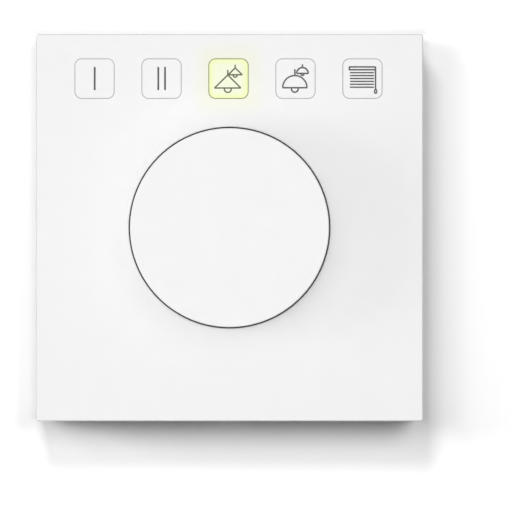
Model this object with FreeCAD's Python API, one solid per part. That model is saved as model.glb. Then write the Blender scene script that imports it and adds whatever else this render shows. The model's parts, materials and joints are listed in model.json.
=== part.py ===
import FreeCAD
import Part
import math
import os

# Wall control panel with five touch fields, a raised rotary push knob and a round rear box.
# Millimetres. X is the viewer's right, Z is up, the front faces minus Y and the wall is the plane y = 0.
# The origin is the centre of the wall screw pattern, on the wall.

# Front plate
panel_size = 86.0
plate_thickness = 3.2
plate_corner_radius = 0.7
plate_edge_radius = 0.25
hole_radius = 22.4
hole_edge_chamfer = 0.12

# Touch fields
icon_count = 5
icon_size = 8.9
icon_side_margin = 13.2
icon_top_margin = 10.1
foil_thickness = 0.15
foil_margin = 1.5
foil_tail_width = 8.0
foil_tail_offset = -8.0
foil_tail_depth = 0.55
foil_socket_wall = 0.5
foil_socket_height = 1.6
foil_socket_depth = 1.0
adhesive_thickness = 0.25
adhesive_edge = 1.6

# Light box, windows and lamps behind the touch fields
light_box_depth = 2.65
light_box_wall = 1.1
diffuser_frame = 0.3
diffuser_thickness = 1.0
diffuser_ledge = 0.7
diffuser_corner_radius = 0.4
led_width = 3.5
led_height = 2.8
led_thickness = 0.9
led_window_radius = 1.12
led_window_depth = 0.18

# Carrier frame
carrier_inset = 0.8
carrier_corner_radius = 0.8
carrier_wall = 1.6
web_thickness = 1.2
wall_gap = 0.4
pry_slot_width = 8.0
pry_slot_depth = 1.2
turret_wall = 1.2
turret_top = 1.0

# Knob
knob_gap = 0.25
knob_height = 9.5
knob_draft = 0.5
knob_edge_radius = 0.15
knob_front_wall = 1.6
knob_side_wall = 1.8
knob_inner_bevel = 0.45
knob_travel = 0.5
skirt_clearance = 0.6
dust_ring_lap = 1.4
core_disc_thickness = 1.2
core_blind_wall = 0.6
core_rib_count = 8
core_rib_width = 1.0
core_rib_depth = 3.0
core_rib_gap = 1.0
hub_radius = 5.5
hub_clearance = 0.4
clip_thickness = 0.5
clip_width = 1.6
clip_opening = 4.0

# Encoder
encoder_size = 12.0
encoder_height = 3.5
encoder_floor = 0.8
encoder_wall = 0.8
encoder_flange = 0.8
clamp_thickness = 0.4
clamp_leg_width = 5.0
bushing_radius = 3.5
bushing_chamfer = 0.3
shaft_radius = 3.0
shaft_flat = 1.5
shaft_fit = 0.05
shaft_chamfer = 0.3
rotor_thickness = 1.1
rotor_clearance = 0.25
rotor_chamfer = 0.15
washer_thickness = 0.4
washer_radius = 6.0
washer_chamfer = 0.1
nut_thickness = 1.8
nut_flats = 10.0
nut_rounding = 0.1
thread_end = 0.3
circlip_thickness = 0.3
circlip_width = 0.9
circlip_opening = 3.2
dome_radius = 2.4
dome_height = 0.6
dome_thickness = 0.12
dome_gap = 0.1
encoder_pin_pitch = 2.5
encoder_pin_width = 0.8
encoder_pin_thickness = 0.3
pin_stick_out = 1.0

# Main board and what is on its rear side
board_thickness = 1.2
board_side_margin = 8.4
board_bottom_margin = 8.4
board_corner_radius = 1.5
board_screw_inset = 3.6
board_screw_drop = 6.0
rear_space = 1.9
chip_leg_pitch = 0.9
chip_leg_width = 0.3
chip_leg_reach = 0.7
chip_leg_thickness = 0.2
touch_chip_size = 7.0
touch_chip_thickness = 0.9
touch_chip_place = (-13.0, 22.0)
control_chip_size = 9.0
control_chip_thickness = 1.0
control_chip_place = (11.0, -13.0)

# Rear housing with the round box
rear_plate_thickness = 1.4
rear_plate_corner_radius = 0.5
box_radius = 23.0
box_wall = 1.6
box_floor = 1.6
box_depth = 17.0
box_flange_width = 0.9
box_flange_thickness = 0.8
box_edge_radius = 0.8
post_radius = 2.3
post_inset = 3.6
post_angle = 25.0
label_width = 20.0
label_height = 12.0
label_depth = 0.3
label_corner_radius = 1.0
label_place = 7.0

# Bus board
bus_board_drop = 4.0
bus_board_thickness = 1.2
link_columns = 4
link_rows = 2
link_pitch = 2.54
link_pin_width = 0.64
link_pin_hole_radius = 0.5
link_socket_floor = 1.0
link_header_height = 2.5
link_height = 13.0
leg_width = 0.8
leg_reach = 0.8
leg_height = 0.9
body_chamfer = 0.2
rectifier_size = (4.7, 2.5, 3.9)
rectifier_place = (-13.5, -6.0)
optocoupler_size = (4.6, 3.5, 6.5)
optocoupler_places = ((-7.0, 5.0), (0.0, 5.0))
capacitor_radius = 3.15
capacitor_length = 7.7
capacitor_base_edge = 0.15
capacitor_base_thickness = 0.8
capacitor_edge_radius = 0.5
capacitor_place = (13.0, -4.0)

# Bus terminal
terminal_width = 12.0
terminal_height = 10.4
terminal_floor = 1.2
terminal_proud = 0.6
terminal_place = -12.0
terminal_pitch = 5.5
wire_radius = 1.3
wire_funnel = 0.5
wire_offset = -2.5
clamp_space_depth = 3.2
pusher_offset = 2.3
pusher_width = 2.6
pusher_height = 3.0
pusher_travel = 1.2
pusher_end_reach = 0.4
pusher_slot = 0.5
clamp_strip = 0.4
clamp_width = 2.4
terminal_pin_radius = 0.5

# Wall bracket
bracket_size = 70.0
bracket_thickness = 1.2
bracket_corner_cut = 8.0
bracket_clearance = 0.3
screw_spacing = 60.0
slot_length = 6.0
slot_width = 4.0
slot_head_radius = 3.5
tab_length = 8.0
tab_height = 10.0
tab_reach = 3.1
tab_nose = 0.5
tab_nose_height = 1.0

# Screws
small_shank_radius = 1.0
small_head_radius = 2.0
small_head_height = 1.3
small_shank_length = 3.0
housing_screw_inset = 4.6
housing_screw_drop = 5.2
housing_shank_length = 4.6
screw_recess_width = 0.5
screw_recess_length = 2.2
screw_recess_depth = 0.6
screw_head_rounding = 0.5
screw_tip_chamfer = 0.4
screw_head_gap = 0.4

# Clearances
fit_gap = 0.1
part_gap = 0.2
turret_clearance = 0.5
boss_wall = 1.3
touch_gap = 0.05

# Depths, counted from the wall forwards
bracket_front_y = -bracket_thickness
housing_back_y = bracket_front_y - bracket_clearance
housing_front_y = housing_back_y - rear_plate_thickness
board_back_y = housing_front_y - rear_space
board_front_y = board_back_y - board_thickness
foil_back_y = board_front_y - light_box_depth
plate_back_y = foil_back_y - foil_thickness
plate_front_y = plate_back_y - plate_thickness
web_front_y = plate_back_y + adhesive_thickness
web_back_y = web_front_y + web_thickness
tail_end_y = board_front_y - foil_socket_depth + foil_tail_depth
knob_front_y = plate_front_y - knob_height
knob_back_y = plate_back_y - skirt_clearance
core_front_y = knob_front_y + knob_front_wall
core_back_y = core_front_y + core_disc_thickness
shaft_front_y = core_front_y + core_blind_wall + part_gap

# Depths in the encoder, counted from the board forwards
rotor_space_back_y = board_front_y - encoder_floor
encoder_front_y = board_front_y - encoder_height
flange_front_y = encoder_front_y - encoder_flange
clamp_front_y = flange_front_y - clamp_thickness
turret_front_y = clamp_front_y - turret_top
washer_front_y = turret_front_y - washer_thickness
nut_front_y = washer_front_y - nut_thickness
bushing_front_y = nut_front_y - thread_end
hub_back_y = bushing_front_y - knob_travel - hub_clearance
clip_front_y = (core_back_y + hub_back_y - clip_width) / 2
clip_back_y = clip_front_y + clip_width
dome_front_y = rotor_space_back_y - dome_height
shaft_back_y = dome_front_y - dome_gap
rotor_front_y = encoder_front_y + rotor_clearance
rotor_back_y = rotor_front_y + rotor_thickness
groove_front_y = rotor_back_y + touch_gap
groove_back_y = groove_front_y + circlip_thickness

# Depths in the round box, counted from the wall backwards
bus_front_y = bus_board_drop
bus_back_y = bus_front_y + bus_board_thickness
floor_front_y = box_depth - box_floor
terminal_back_y = box_depth + terminal_proud
clamp_space_front_y = bus_back_y + terminal_floor
wire_end_y = clamp_space_front_y + clamp_space_depth
pusher_back_y = terminal_back_y + pusher_travel + pusher_end_reach

# Places across the panel
half_panel = panel_size / 2
icon_pitch = (panel_size - 2 * icon_side_margin) / (icon_count - 1)
icon_row_z = half_panel - icon_top_margin
icon_places = [(i - (icon_count - 1) / 2) * icon_pitch for i in range(icon_count)]
window_size = icon_size + 2 * diffuser_frame
chamber_size = window_size - 2 * diffuser_ledge
light_box_half_width = icon_places[-1] + window_size / 2 + light_box_wall * 2
light_box_half_height = window_size / 2 + light_box_wall
carrier_half = half_panel - carrier_inset
inner_half = carrier_half - carrier_wall
board_half_width = half_panel - board_side_margin
board_bottom_z = -(half_panel - board_bottom_margin)
board_top_z = icon_row_z + light_box_half_height
light_box_bottom_z = icon_row_z - light_box_half_height
knob_radius = hole_radius - knob_gap
turret_inner_radius = math.hypot(encoder_size / 2 + clamp_thickness, encoder_size / 2) + turret_clearance
turret_radius = turret_inner_radius + turret_wall
tail_z = light_box_bottom_z - foil_margin + part_gap
board_screw_x = board_half_width - board_screw_inset
board_screw_places = [(side * board_screw_x, z) for side in (-1, 1)
                      for z in (light_box_bottom_z - board_screw_drop, board_bottom_z + board_screw_inset)]
housing_screw_x = inner_half - housing_screw_inset + boss_wall
housing_screw_places = [(side * housing_screw_x, z) for side in (-1, 1)
                        for z in (light_box_bottom_z - housing_screw_drop, housing_screw_inset - inner_half)]
screw_half = screw_spacing / 2
pole_places = (-terminal_pitch / 2, terminal_pitch / 2)
wire_z = terminal_place + wire_offset
pusher_z = terminal_place + pusher_offset

back = FreeCAD.Vector(0, 1, 0)


def block(x0, x1, y0, y1, z0, z1):
    return Part.makeBox(x1 - x0, y1 - y0, z1 - z0, FreeCAD.Vector(x0, y0, z0))


def centred_block(width, height, y0, y1, x=0.0, z=0.0):
    return block(x - width / 2, x + width / 2, y0, y1, z - height / 2, z + height / 2)


def disc(radius, y0, y1, x=0.0, z=0.0):
    return Part.makeCylinder(radius, y1 - y0, FreeCAD.Vector(x, y0, z), back)


def ring(outer, inner, y0, y1, x=0.0, z=0.0):
    return disc(outer, y0, y1, x, z).cut(disc(inner, y0, y1, x, z))


def upright_edges(shape):
    """Edges that run along Y."""
    found = []
    for edge in shape.Edges:
        a, b = edge.Vertexes[0].Point, edge.Vertexes[-1].Point
        if abs(a.x - b.x) < 1e-6 and abs(a.z - b.z) < 1e-6 and abs(a.y - b.y) > 1e-6:
            found.append(edge)
    return found


def rounded_plate(width, height, radius, y0, y1, x=0.0, z=0.0):
    plate = centred_block(width, height, y0, y1, x, z)
    return plate.makeFillet(radius, upright_edges(plate))


def slot(length, width, y0, y1, x, z, along_x):
    """Slot with round ends, centred at x, z."""
    reach = length / 2 - width / 2
    step_x, step_z = (reach, 0.0) if along_x else (0.0, reach)
    ends = disc(width / 2, y0, y1, x - step_x, z - step_z).fuse(
        disc(width / 2, y0, y1, x + step_x, z + step_z))
    middle = centred_block(2 * step_x or width, 2 * step_z or width, y0, y1, x, z)
    return ends.fuse(middle).removeSplitter()


def turned(points):
    """Solid of revolution about the Y axis from an outline of radius, y pairs."""
    corners = [FreeCAD.Vector(radius, y, 0) for radius, y in points]
    face = Part.Face(Part.makePolygon(corners + corners[:1]))
    return face.revolve(FreeCAD.Vector(0, 0, 0), back, 360)


def extruded_x(points, x0, x1):
    """Prism along X from an outline of y, z pairs."""
    corners = [FreeCAD.Vector(x0, y, z) for y, z in points]
    face = Part.Face(Part.makePolygon(corners + corners[:1]))
    return face.extrude(FreeCAD.Vector(x1 - x0, 0, 0))


def front_edges(shape, y):
    """Edges that lie in the plane of this y."""
    return [edge for edge in shape.Edges
            if abs(edge.BoundBox.YMin - y) < 1e-6 and abs(edge.BoundBox.YMax - y) < 1e-6]


def flatted_disc(radius, flat, y0, y1):
    """Round bar with one flat that faces up."""
    return disc(radius, y0, y1).cut(block(-radius, radius, y0, y1, flat, radius))


def shaft_hole(y0, y1):
    return flatted_disc(shaft_radius + shaft_fit, shaft_flat + shaft_fit, y0, y1)


def screw(x, z, seat_y, shank_length):
    """Pan head screw driven from behind, with a cross recess."""
    top_y = seat_y + small_head_height
    head = disc(small_head_radius, seat_y, top_y, x, z)
    head = head.makeFillet(screw_head_rounding, front_edges(head, top_y))
    long_side, short_side = screw_recess_length, screw_recess_width
    for width, height in ((long_side, short_side), (short_side, long_side)):
        head = head.cut(centred_block(width, height, top_y - screw_recess_depth, top_y, x, z))
    shank = disc(small_shank_radius, seat_y - shank_length, seat_y, x, z)
    shank = shank.makeChamfer(screw_tip_chamfer, front_edges(shank, seat_y - shank_length))
    return head.fuse(shank).removeSplitter()


def front_plate():
    plate = rounded_plate(panel_size, panel_size, plate_corner_radius, plate_front_y, plate_back_y)
    plate = plate.makeFillet(plate_edge_radius, front_edges(plate, plate_front_y))
    plate = plate.cut(disc(hole_radius, plate_front_y, plate_back_y))
    rim = [edge for edge in front_edges(plate, plate_front_y) if edge.Curve.TypeId == "Part::GeomCircle"
           and abs(edge.Curve.Radius - hole_radius) < 1e-6]
    return plate.makeChamfer(hole_edge_chamfer, rim)


def foil_window(y0, y1, margin):
    """Space behind the touch fields that the foil, its tail and the light box share."""
    half_width = light_box_half_width + margin
    top = icon_row_z + light_box_half_height + margin
    bottom = tail_z - margin
    return block(-half_width, half_width, y0, y1, bottom, top)


def plate_adhesive():
    half = inner_half + carrier_wall - adhesive_edge
    tape = rounded_plate(2 * half, 2 * half, carrier_corner_radius, plate_back_y, web_front_y)
    tape = tape.cut(disc(hole_radius + dust_ring_lap + part_gap, plate_back_y, web_front_y))
    return tape.cut(foil_window(plate_back_y, web_front_y, part_gap * 2))


def dust_ring():
    inner = knob_radius - knob_side_wall
    lap = ring(hole_radius + dust_ring_lap, inner, plate_back_y, web_front_y)
    return lap.cut(foil_window(plate_back_y, web_front_y, part_gap * 2))


def touch_foil():
    half = light_box_half_width
    low, high = icon_row_z - light_box_half_height, icon_row_z + light_box_half_height
    foil = block(-half, half, plate_back_y, foil_back_y, low, high)
    x0, x1 = foil_tail_offset - foil_tail_width / 2, foil_tail_offset + foil_tail_width / 2
    flap = block(x0, x1, plate_back_y, foil_back_y, tail_z, low)
    tail = block(x0, x1, plate_back_y, tail_end_y, tail_z, tail_z + foil_thickness)
    return foil.fuse([flap, tail]).removeSplitter()


def foil_socket():
    socket_front_y = board_front_y - foil_socket_depth
    middle_z = tail_z + foil_thickness / 2
    body = centred_block(foil_tail_width + 2 * foil_socket_wall, foil_socket_height, socket_front_y,
                         board_front_y, foil_tail_offset, middle_z)
    mouth = centred_block(foil_tail_width + fit_gap, foil_thickness + 2 * touch_gap, socket_front_y,
                          tail_end_y + touch_gap, foil_tail_offset, middle_z)
    return body.cut(mouth)


def light_box():
    body = centred_block(2 * light_box_half_width, 2 * light_box_half_height, foil_back_y, board_front_y,
                         0.0, icon_row_z)
    ledge_y = foil_back_y + diffuser_thickness
    for x in icon_places:
        body = body.cut(centred_block(window_size, window_size, foil_back_y, ledge_y, x, icon_row_z))
        body = body.cut(centred_block(chamber_size, chamber_size, ledge_y, board_front_y, x, icon_row_z))
    return body


def icon_diffuser(x):
    size = window_size - 2 * fit_gap
    return rounded_plate(size, size, diffuser_corner_radius, foil_back_y, foil_back_y + diffuser_thickness,
                         x, icon_row_z)


def icon_led(x):
    led_front_y = board_front_y - led_thickness
    body = centred_block(led_width, led_height, led_front_y, board_front_y, x, icon_row_z)
    return body.cut(disc(led_window_radius, led_front_y, led_front_y + led_window_depth, x, icon_row_z))


def carrier_frame():
    back_y = -wall_gap
    body = rounded_plate(2 * carrier_half, 2 * carrier_half, carrier_corner_radius, web_front_y, back_y)
    body = body.cut(centred_block(2 * inner_half, 2 * inner_half, web_back_y, back_y))
    body = body.fuse(disc(turret_radius, turret_front_y, web_back_y))
    boss_radius = small_shank_radius + boss_wall
    for x, z in board_screw_places:
        body = body.fuse(disc(boss_radius, web_back_y, board_front_y, x, z))
    for x, z in housing_screw_places:
        body = body.fuse(disc(boss_radius, web_back_y, housing_front_y, x, z))
    body = body.cut(disc(turret_inner_radius, clamp_front_y, web_back_y))
    body = body.cut(disc(bushing_radius + fit_gap, turret_front_y, clamp_front_y))
    window_half_width, window_half_height = light_box_half_width + part_gap, light_box_half_height + part_gap
    body = body.cut(centred_block(2 * window_half_width, 2 * window_half_height, web_front_y, web_back_y,
                                  0.0, icon_row_z))
    body = body.cut(centred_block(foil_tail_width + 4 * part_gap, 2 * foil_margin, web_front_y, web_back_y,
                                  foil_tail_offset, tail_z))
    for x, z in board_screw_places:
        body = body.cut(disc(small_shank_radius + touch_gap, web_front_y + part_gap, board_front_y, x, z))
    for x, z in housing_screw_places:
        pilot_y = housing_back_y - housing_shank_length - part_gap
        body = body.cut(disc(small_shank_radius + touch_gap, pilot_y, housing_front_y, x, z))
    body = body.cut(block(-pry_slot_width / 2, pry_slot_width / 2, back_y - pry_slot_depth, back_y,
                          -carrier_half, -inner_half))
    return body.removeSplitter()


def encoder_pin_places():
    """Three pins below the encoder and two above it."""
    edge = encoder_size / 2 + encoder_pin_thickness / 2
    below = [(i * encoder_pin_pitch, -edge) for i in (-1, 0, 1)]
    above = [(i * encoder_pin_pitch, edge) for i in (-1, 1)]
    return below + above


def main_board():
    height = board_top_z - board_bottom_z
    board = rounded_plate(2 * board_half_width, height, board_corner_radius, board_front_y, board_back_y,
                          0.0, (board_top_z + board_bottom_z) / 2)
    for x, z in board_screw_places:
        board = board.cut(disc(small_shank_radius + fit_gap, board_front_y, board_back_y, x, z))
    for x, z in encoder_pin_places():
        board = board.cut(disc(encoder_pin_width / 2 + fit_gap, board_front_y, board_back_y, x, z))
    for side in (-1, 1):
        x = side * (encoder_size / 2 + clamp_thickness / 2)
        board = board.cut(centred_block(clamp_thickness + 2 * fit_gap, clamp_leg_width + 2 * fit_gap,
                                        board_front_y, board_back_y, x, 0.0))
    return board


def board_screws():
    return Part.makeCompound([screw(x, z, board_back_y, small_shank_length) for x, z in board_screw_places])


def chip(size, thickness, place):
    """Flat square chip with short legs on all four sides, on the rear of the main board."""
    x, z = place
    body = centred_block(size, size, board_back_y + fit_gap, board_back_y + thickness, x, z)
    legs = []
    leg_count = round(size / chip_leg_pitch) - 1
    leg_back_y = board_back_y + chip_leg_thickness
    span = size + 2 * chip_leg_reach
    for i in range(leg_count):
        offset = (i - (leg_count - 1) / 2) * chip_leg_pitch
        legs.append(centred_block(span, chip_leg_width, board_back_y, leg_back_y, x, z + offset))
        legs.append(centred_block(chip_leg_width, span, board_back_y, leg_back_y, x + offset, z))
    return body.fuse(legs).removeSplitter()


def encoder_housing():
    body = centred_block(encoder_size, encoder_size, encoder_front_y, board_front_y)
    space_radius = encoder_size / 2 - encoder_wall
    return body.cut(disc(space_radius, encoder_front_y, rotor_space_back_y))


def encoder_clamp():
    half = encoder_size / 2
    top = centred_block(encoder_size, encoder_size, clamp_front_y, flange_front_y)
    legs = []
    for side in (-1, 1):
        x = side * (half + clamp_thickness / 2)
        legs.append(centred_block(clamp_thickness, clamp_leg_width, clamp_front_y,
                                  board_back_y + pin_stick_out, x, 0.0))
    hole = disc(bushing_radius + fit_gap, clamp_front_y, flange_front_y)
    return top.fuse(legs).cut(hole).removeSplitter()


def encoder_pins():
    pins = [centred_block(encoder_pin_width, encoder_pin_thickness, board_front_y - encoder_height / 2,
                          board_back_y + pin_stick_out, x, z) for x, z in encoder_pin_places()]
    return Part.makeCompound(pins)


def encoder_bushing():
    flange = centred_block(encoder_size, encoder_size, flange_front_y, encoder_front_y)
    neck = disc(bushing_radius, bushing_front_y, flange_front_y)
    neck = neck.makeChamfer(bushing_chamfer, front_edges(neck, bushing_front_y))
    bore = disc(shaft_radius + shaft_fit, bushing_front_y, encoder_front_y)
    return flange.fuse(neck).cut(bore).removeSplitter()


def encoder_washer():
    washer = ring(washer_radius, bushing_radius + fit_gap, washer_front_y, turret_front_y)
    rim = [edge for edge in front_edges(washer, washer_front_y)
           if abs(edge.Curve.Radius - washer_radius) < 1e-6]
    return washer.makeChamfer(washer_chamfer, rim)


def encoder_nut():
    """Hexagon nut, rounded off in front by a 45 degree cone."""
    reach = nut_flats / 2 / math.cos(math.pi / 6)
    corners = []
    for i in range(7):
        angle = i * math.pi / 3
        corners.append(FreeCAD.Vector(reach * math.cos(angle), nut_front_y, reach * math.sin(angle)))
    nut = Part.Face(Part.makePolygon(corners)).extrude(FreeCAD.Vector(0, nut_thickness, 0))
    front_radius = nut_flats / 2 + nut_rounding
    rounding = Part.makeCone(front_radius, front_radius + nut_thickness, nut_thickness,
                             FreeCAD.Vector(0, nut_front_y, 0), back)
    return nut.common(rounding).cut(disc(bushing_radius + touch_gap, nut_front_y, washer_front_y))


def switch_dome():
    """Shallow spherical cap, opening towards the housing floor."""
    sphere_radius = (dome_radius ** 2 + dome_height ** 2) / (2 * dome_height)
    centre = FreeCAD.Vector(0, dome_front_y + sphere_radius, 0)
    outer = Part.makeSphere(sphere_radius, centre)
    inner = Part.makeSphere(sphere_radius - dome_thickness, centre)
    return outer.cut(inner).common(disc(2 * dome_radius, dome_front_y - dome_height, rotor_space_back_y))


def encoder_rotor():
    radius = encoder_size / 2 - encoder_wall - rotor_clearance
    body = disc(radius, rotor_front_y, rotor_back_y)
    rims = front_edges(body, rotor_front_y) + front_edges(body, rotor_back_y)
    body = body.makeChamfer(rotor_chamfer, rims)
    return body.cut(shaft_hole(rotor_front_y, rotor_back_y))


def encoder_shaft():
    """D shaft: flat at the knob, round in the bushing, flat again in the rotor, grooved for its clip."""
    bar = disc(shaft_radius, shaft_front_y, shaft_back_y)
    bar = bar.makeChamfer(shaft_chamfer, front_edges(bar, shaft_front_y))
    knob_flat_end = bushing_front_y - knob_travel
    rotor_flat_start = rotor_front_y - knob_travel - touch_gap
    for y0, y1 in ((shaft_front_y, knob_flat_end), (rotor_flat_start, shaft_back_y)):
        bar = bar.cut(block(-shaft_radius, shaft_radius, y0, y1, shaft_flat, shaft_radius))
    return bar.cut(ring(2 * shaft_radius, shaft_radius - circlip_width / 2, groove_front_y, groove_back_y))


def shaft_circlip():
    inner = shaft_radius - circlip_width / 2 + touch_gap
    clip = ring(inner + circlip_width, inner, groove_front_y + touch_gap / 2, groove_back_y - touch_gap / 2)
    return clip.cut(block(-circlip_opening / 2, circlip_opening / 2, groove_front_y, groove_back_y,
                          0.0, 2 * shaft_radius))


def knob_radius_at(y):
    """Outer radius of the drafted knob at this y."""
    return knob_radius - (plate_back_y - y) * math.tan(math.radians(knob_draft))


def knob_shell():
    front_radius, back_radius = knob_radius_at(knob_front_y), knob_radius_at(knob_back_y)
    inner_radius = back_radius - knob_side_wall
    shell = turned([(0.0, knob_front_y), (front_radius, knob_front_y), (back_radius, knob_back_y),
                    (inner_radius + knob_inner_bevel, knob_back_y),
                    (inner_radius, knob_back_y - knob_inner_bevel),
                    (knob_radius_at(core_front_y) - knob_side_wall, core_front_y), (0.0, core_front_y)])
    rim = [edge for edge in front_edges(shell, knob_front_y) if edge.Length > front_radius]
    return shell.makeFillet(knob_edge_radius, rim)


def knob_core():
    disc_radius = knob_radius_at(core_back_y) - knob_side_wall - touch_gap * 2
    rib_front, rib_back = core_back_y, core_back_y + core_rib_depth
    core = disc(disc_radius, core_front_y, core_back_y).fuse(disc(hub_radius, core_back_y, hub_back_y))
    rib_reach = disc_radius - knob_side_wall
    rib_inner = turret_radius + core_rib_gap
    for i in range(core_rib_count):
        rib = centred_block(rib_reach - rib_inner, core_rib_width, rib_front, rib_back,
                            (rib_reach + rib_inner) / 2, 0.0)
        rib.rotate(FreeCAD.Vector(0, 0, 0), back, i * 360 / core_rib_count)
        core = core.fuse(rib)
    core = core.cut(shaft_hole(core_front_y + core_blind_wall, hub_back_y))
    groove = ring(2 * hub_radius, hub_radius - clip_thickness / 2,
                  clip_front_y - touch_gap, clip_back_y + touch_gap)
    return core.cut(groove).removeSplitter()


def knob_clip():
    inner = hub_radius - clip_thickness / 2 + touch_gap
    clip = ring(inner + clip_thickness, inner, clip_front_y, clip_back_y)
    return clip.cut(block(-clip_opening / 2, clip_opening / 2, clip_front_y, clip_back_y,
                          -2 * hub_radius, 0.0))


def terminal_opening(y0, y1, gap):
    return centred_block(terminal_width + 2 * gap, terminal_height + 2 * gap, y0, y1, 0.0, terminal_place)


def post_places():
    reach = box_radius - box_wall - post_inset
    x = reach * math.cos(math.radians(post_angle))
    z = reach * math.sin(math.radians(post_angle))
    return ((-x, z), (x, z))


def tab_places():
    return [(side, level * tab_height) for side in (-1, 1) for level in (-1, 1)]


def rear_plate():
    """Back plate with the hole for the box, room for the wall screws and windows for the bracket's tabs."""
    y0, y1 = housing_front_y, housing_back_y
    half = inner_half - fit_gap
    body = rounded_plate(2 * half, 2 * half, rear_plate_corner_radius, y0, y1)
    body = body.cut(disc(box_radius + touch_gap, y0, y1))
    for x, z in housing_screw_places:
        body = body.cut(disc(small_shank_radius + fit_gap, y0, y1, x, z))
    head_slot = slot_length - slot_width + 2 * slot_head_radius
    for step in (-screw_half, screw_half):
        body = body.cut(slot(head_slot, 2 * slot_head_radius, y0, y1, step, 0.0, True))
        body = body.cut(slot(head_slot, 2 * slot_head_radius, y0, y1, 0.0, step, False))
    window_inner = bracket_size / 2 - bracket_thickness - 2 * part_gap
    window_outer = bracket_size / 2 + tab_nose - part_gap
    for side, z in tab_places():
        body = body.cut(centred_block(window_outer - window_inner, tab_length + 4 * part_gap, y0, y1,
                                      side * (window_inner + window_outer) / 2, z))
    return body


def rear_box():
    """Round cup that goes through the back plate from the front and stops on its flange."""
    flange_front_y = housing_front_y - box_flange_thickness
    body = disc(box_radius, housing_front_y, box_depth)
    body = body.makeFillet(box_edge_radius, front_edges(body, box_depth))
    body = body.fuse(disc(box_radius + box_flange_width, flange_front_y, housing_front_y))
    body = body.cut(disc(box_radius - box_wall, flange_front_y, floor_front_y))
    for x, z in post_places():
        body = body.fuse(disc(post_radius, bus_back_y, floor_front_y, x, z))
        pilot_end_y = bus_front_y + small_shank_length + part_gap
        body = body.cut(disc(small_shank_radius + touch_gap, bus_back_y, pilot_end_y, x, z))
    body = body.cut(terminal_opening(floor_front_y, box_depth, fit_gap))
    label = rounded_plate(label_width, label_height, label_corner_radius, box_depth - label_depth, box_depth,
                          0.0, label_place)
    return body.cut(label).removeSplitter()


def housing_screws():
    return Part.makeCompound([screw(x, z, housing_back_y, housing_shank_length)
                              for x, z in housing_screw_places])


def wall_bracket():
    half = bracket_size / 2
    cut = bracket_corner_cut
    outline = [(-half + cut, -half), (half - cut, -half), (half, -half + cut), (half, half - cut),
               (half - cut, half), (-half + cut, half), (-half, half - cut), (-half, -half + cut)]
    corners = [FreeCAD.Vector(x, bracket_front_y, z) for x, z in outline]
    sheet = Part.Face(Part.makePolygon(corners + corners[:1]))
    sheet = sheet.extrude(FreeCAD.Vector(0, bracket_thickness, 0))
    sheet = sheet.cut(disc(box_radius + 2 * part_gap, bracket_front_y, 0.0))
    for x, z in housing_screw_places:
        sheet = sheet.cut(disc(small_head_radius + screw_head_gap, bracket_front_y, 0.0, x, z))
    for step in (-screw_half, screw_half):
        sheet = sheet.cut(slot(slot_length, slot_width, bracket_front_y, 0.0, step, 0.0, True))
        sheet = sheet.cut(slot(slot_length, slot_width, bracket_front_y, 0.0, 0.0, step, False))
    for side, z in tab_places():
        tab_front_y = bracket_front_y - tab_reach
        tab = centred_block(bracket_thickness, tab_length, tab_front_y, bracket_front_y,
                            side * (half - bracket_thickness / 2), z)
        nose_back_y = housing_front_y - part_gap
        nose = centred_block(tab_nose, tab_length / 2, nose_back_y - tab_nose_height, nose_back_y,
                             side * (half + tab_nose / 2), z)
        sheet = sheet.fuse([tab, nose])
    return sheet.removeSplitter()


def link_places():
    spots = []
    for column in range(link_columns):
        for row in range(link_rows):
            spots.append(((column - (link_columns - 1) / 2) * link_pitch,
                          link_height + (row - (link_rows - 1) / 2) * link_pitch))
    return spots


def link_body(y0, y1, hole_width, hole_y0, hole_y1):
    """Rectangular contact carrier with one square hole per pin."""
    body = centred_block(link_columns * link_pitch, link_rows * link_pitch, y0, y1, 0.0, link_height)
    for x, z in link_places():
        body = body.cut(centred_block(hole_width, hole_width, hole_y0, hole_y1, x, z))
    return body


def link_socket():
    meet_y = bus_front_y - link_header_height
    return link_body(board_back_y, meet_y, link_pin_width + 2 * touch_gap,
                     board_back_y + link_socket_floor, meet_y)


def link_header():
    meet_y = bus_front_y - link_header_height
    return link_body(meet_y, bus_front_y, link_pin_width, meet_y, bus_front_y)


def link_pins():
    pin_front_y = board_back_y + link_socket_floor + part_gap
    return Part.makeCompound([centred_block(link_pin_width, link_pin_width, pin_front_y,
                                            bus_back_y + pin_stick_out, x, z) for x, z in link_places()])


def bus_board():
    board = disc(box_radius - box_wall - part_gap * 2, bus_front_y, bus_back_y)
    for x, z in link_places():
        board = board.cut(disc(link_pin_hole_radius, bus_front_y, bus_back_y, x, z))
    for x, z in post_places():
        board = board.cut(disc(small_shank_radius + fit_gap, bus_front_y, bus_back_y, x, z))
    for x in pole_places:
        board = board.cut(disc(terminal_pin_radius + fit_gap, bus_front_y, bus_back_y, x, wire_z))
    return board


def bus_board_screws():
    screws = []
    for x, z in post_places():
        one = screw(x, -z, -bus_front_y, small_shank_length)
        one.rotate(FreeCAD.Vector(x, 0, 0), FreeCAD.Vector(1, 0, 0), 180)
        screws.append(one)
    return Part.makeCompound(screws)


def board_box(size, place):
    """Moulded electronic part on the rear of the bus board, with two legs on each side."""
    width, depth, height = size
    x, z = place
    body = centred_block(width, height, bus_back_y + fit_gap, bus_back_y + depth, x, z)
    body = body.makeChamfer(body_chamfer, front_edges(body, bus_back_y + depth))
    legs = [centred_block(leg_width, height + 2 * leg_reach, bus_back_y, bus_back_y + leg_height,
                          x + side * width / 4, z) for side in (-1, 1)]
    return body.fuse(legs).removeSplitter()


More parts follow.
